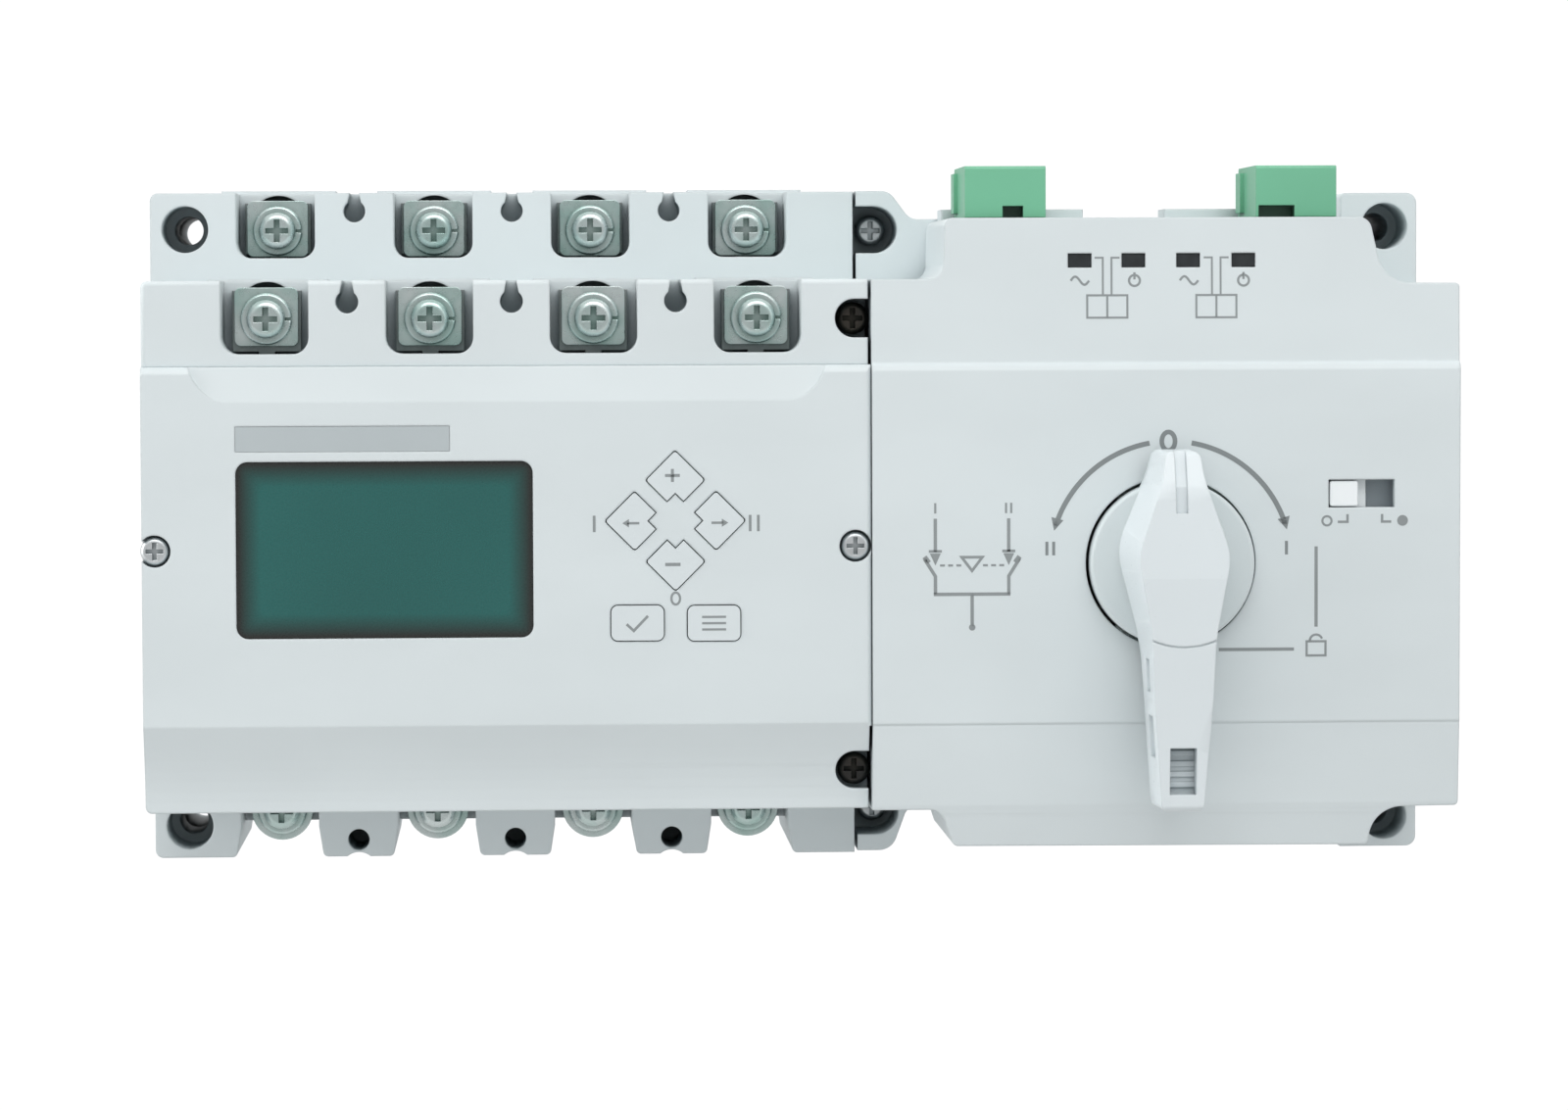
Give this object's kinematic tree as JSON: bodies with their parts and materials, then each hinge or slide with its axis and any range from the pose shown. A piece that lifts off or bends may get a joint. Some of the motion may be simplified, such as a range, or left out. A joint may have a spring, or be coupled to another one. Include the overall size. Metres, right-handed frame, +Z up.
{
  "type": "automatic transfer switch",
  "caption": "Panel-mounted automatic transfer switch with stacked switch decks, a display controller and a motor drive with a rotary handle.",
  "frame": {"origin": "centre of the four mounting holes, on the back plane", "axes": "+X to the right along the poles, +Z up, the front faces -Y, the back plane is Y = 0"},
  "size_m": [0.2432, 0.118, 0.1308],
  "materials": {
    "housing_light_grey": "fine satin moulded",
    "handle_white": "smooth semi-gloss",
    "key_film": "satin",
    "mid_grey_film": "satin",
    "display_window": "clear polished",
    "display_module": "smooth",
    "circuit_board": "lacquered",
    "black_plastic": "satin",
    "insulating_plastic": "moulded",
    "gear_plastic": "moulded",
    "clear_plastic": "clear moulded",
    "connector_green": "semi-gloss",
    "plated_copper": "tin plated copper",
    "silver_alloy": "silver alloy",
    "zinc_steel": "zinc plated",
    "spring_steel": "spring temper",
    "black_steel": "black oxide",
    "aluminium_cast": "die cast",
    "brass": "machined"
  },
  "bodies": {
    "frame": {"rear_deck_base": "housing_light_grey", "rear_deck_cover": "housing_light_grey", "front_deck_base": "housing_light_grey", "front_deck_cover": "housing_light_grey", "rear_line_terminals": "plated_copper", "front_line_terminals": "plated_copper", "load_terminals": "plated_copper", "load_links": "plated_copper", "fixed_contact_tips": "silver_alloy", "terminal_screws": "zinc_steel", "terminal_washers": "zinc_steel", "rear_arc_chutes": "zinc_steel", "front_arc_chutes": "zinc_steel", "shaft_bushes": "brass", "deck_bolts": "zinc_steel", "controller_cover": "housing_light_grey", "lcd_window": "display_window", "lcd_module": "display_module", "controller_pcb": "circuit_board", "tact_switches": "black_plastic", "name_plate": "mid_grey_film", "cover_screws": "zinc_steel", "seam_screws": "black_steel", "drive_base": "housing_light_grey", "drive_cover": "housing_light_grey", "mechanism_plates": "zinc_steel", "plate_spacers": "zinc_steel", "drive_motor": "zinc_steel", "motor_gearbox": "aluminium_cast", "rack_guide": "insulating_plastic", "limit_switches": "black_plastic", "drive_pcb": "circuit_board", "led_lenses": "clear_plastic", "connector_headers": "connector_green", "selector_switch": "black_plastic"},
    "handle": {"handle_grip": "handle_white", "handle_shaft": "zinc_steel", "handle_set_screw": "zinc_steel", "main_gear": "gear_plastic", "position_cam": "black_plastic"},
    "padlock_tongue": {"padlock_slide": "handle_white"},
    "motor_output": {"motor_pinion": "brass"},
    "rack": {"rack_slider": "gear_plastic"},
    "front_rotor": {"front_contact_shaft": "insulating_plastic", "front_moving_blades": "plated_copper", "front_blade_springs": "spring_steel", "front_shaft_pinion": "gear_plastic"},
    "rear_rotor": {"rear_contact_shaft": "insulating_plastic", "rear_moving_blades": "plated_copper", "rear_blade_springs": "spring_steel", "rear_shaft_pinion": "gear_plastic"},
    "selector": {"selector_knob": "handle_white"},
    "plug_left": {"connector_plug_left": "connector_green"},
    "plug_right": {"connector_plug_right": "connector_green"},
    "cap_up": {"key_up": "key_film"},
    "cap_down": {"key_down": "key_film"},
    "cap_left": {"key_left": "key_film"},
    "cap_right": {"key_right": "key_film"},
    "cap_set": {"key_set": "key_film"},
    "cap_mode": {"key_mode": "key_film"}
  },
  "joints": [
    {"name": "handle_turn", "type": "hinge", "parent": "frame", "child": "handle", "pos_m": [0.0679, -0.09, -0.0054], "axis": [0, -1, 0], "range_deg": [-90, 90]},
    {"name": "motor_spin", "type": "hinge", "parent": "frame", "child": "motor_output", "pos_m": [0.08435, -0.084, -0.02501], "axis": [0, -1, 0], "range_deg": [-271, 271]},
    {"name": "rack_travel", "type": "slide", "parent": "frame", "child": "rack", "axis": [0, 0, 1], "range_m": [-0.0142, 0.0142]},
    {"name": "front_shaft_turn", "type": "hinge", "parent": "frame", "child": "front_rotor", "pos_m": [0, -0.068, -0.002], "axis": [1, 0, 0], "range_deg": [-45.2, 45.2]},
    {"name": "rear_shaft_turn", "type": "hinge", "parent": "frame", "child": "rear_rotor", "pos_m": [0, -0.024, -0.002], "axis": [1, 0, 0], "range_deg": [-45.2, 45.2]},
    {"name": "padlock_pull", "type": "slide", "parent": "handle", "child": "padlock_tongue", "axis": [0, 0, -1], "range_m": [0, 0.008]},
    {"name": "selector_travel", "type": "slide", "parent": "frame", "child": "selector", "axis": [1, 0, 0], "range_m": [0, 0.0065]},
    {"name": "plug_left_pull", "type": "slide", "parent": "frame", "child": "plug_left", "axis": [0, 0, 1], "range_m": [0, 0.012]},
    {"name": "plug_right_pull", "type": "slide", "parent": "frame", "child": "plug_right", "axis": [0, 0, 1], "range_m": [0, 0.012]},
    {"name": "key_up_press", "type": "slide", "parent": "frame", "child": "cap_up", "axis": [0, 1, 0], "range_m": [0, 0.0006], "stiffness_N_per_m": 600, "springref_m": -0.001},
    {"name": "key_down_press", "type": "slide", "parent": "frame", "child": "cap_down", "axis": [0, 1, 0], "range_m": [0, 0.0006], "stiffness_N_per_m": 600, "springref_m": -0.001},
    {"name": "key_left_press", "type": "slide", "parent": "frame", "child": "cap_left", "axis": [0, 1, 0], "range_m": [0, 0.0006], "stiffness_N_per_m": 600, "springref_m": -0.001},
    {"name": "key_right_press", "type": "slide", "parent": "frame", "child": "cap_right", "axis": [0, 1, 0], "range_m": [0, 0.0006], "stiffness_N_per_m": 600, "springref_m": -0.001},
    {"name": "key_set_press", "type": "slide", "parent": "frame", "child": "cap_set", "axis": [0, 1, 0], "range_m": [0, 0.0006], "stiffness_N_per_m": 600, "springref_m": -0.001},
    {"name": "key_mode_press", "type": "slide", "parent": "frame", "child": "cap_mode", "axis": [0, 1, 0], "range_m": [0, 0.0006], "stiffness_N_per_m": 600, "springref_m": -0.001}
  ],
  "couplings": [
    {"joint": "motor_spin", "follows": "handle_turn", "ratio": -3},
    {"joint": "rack_travel", "follows": "handle_turn", "m_per_rad": -0.009},
    {"joint": "front_shaft_turn", "follows": "handle_turn", "ratio": -0.5},
    {"joint": "rear_shaft_turn", "follows": "handle_turn", "ratio": 0.5}
  ]
}
